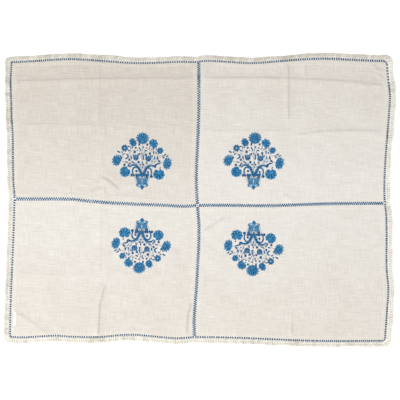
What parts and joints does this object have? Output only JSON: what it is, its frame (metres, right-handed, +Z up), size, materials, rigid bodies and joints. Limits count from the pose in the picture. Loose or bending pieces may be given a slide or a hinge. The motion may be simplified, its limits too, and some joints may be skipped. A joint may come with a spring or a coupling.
{
  "type": "embroidered tablecloth",
  "caption": "Rectangular linen tablecloth lying flat: hemmed panels joined by openwork seams, embroidered with vases of flowers, with a row of bars and a crochet edging",
  "frame": {"origin": "on the surface under the middle of the cloth: the centre of the bounding box's bottom face", "axes": "+X along the long side, +Y across the cloth towards the upper edge of the picture, +Z up from the surface"},
  "size_m": [1.7988, 1.3512, 0.006],
  "materials": {
    "linen": "plain-woven off-white linen, matt and slightly slubby",
    "blue_thread": "soft-sheen blue cotton thread, worked as satin stitch, zigzag openwork and bars",
    "crochet": "dense cream cotton crochet, matt"
  },
  "bodies": {
    "root": {"panel_nw": "linen", "panel_ne": "linen", "panel_sw": "linen", "panel_se": "linen", "openwork_north": "blue_thread", "openwork_south": "blue_thread", "openwork_west": "blue_thread", "openwork_east": "blue_thread", "knot": "blue_thread", "bars_north": "blue_thread", "bars_east": "blue_thread", "bars_south": "blue_thread", "bars_west": "blue_thread", "edging_north": "crochet", "edging_east": "crochet", "edging_south": "crochet", "edging_west": "crochet"}
  },
  "joints": []
}
